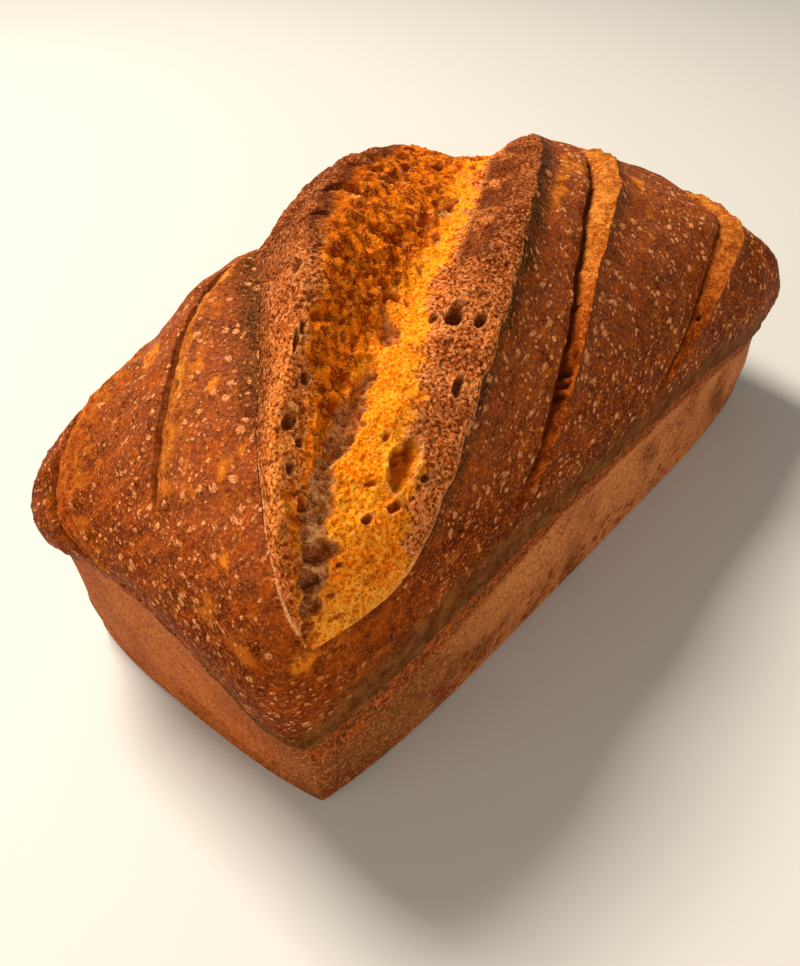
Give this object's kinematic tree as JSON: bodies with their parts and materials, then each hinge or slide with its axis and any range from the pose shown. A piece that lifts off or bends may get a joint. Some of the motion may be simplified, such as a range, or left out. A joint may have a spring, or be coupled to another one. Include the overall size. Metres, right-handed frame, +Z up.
{
  "type": "tin loaf",
  "caption": "Uncut tin loaf: flat base, leaning tin-baked walls and a domed crust slashed on the skew and burst open along the main cut.",
  "frame": {"origin": "centre of the loaf's bounding box in plan, at the flat base", "axes": "+X along the loaf, towards its lower end; +Y across it, away from the side where the main cut starts; +Z up"},
  "size_m": [0.2538, 0.1016, 0.1167],
  "materials": {
    "crust": "baked crust, satin where it is dark",
    "tin_baked": "paler, matt crust baked against the tin",
    "crumb": "matt torn crumb, golden to brown"
  },
  "bodies": {
    "root": {"loaf": "crust"}
  },
  "joints": []
}
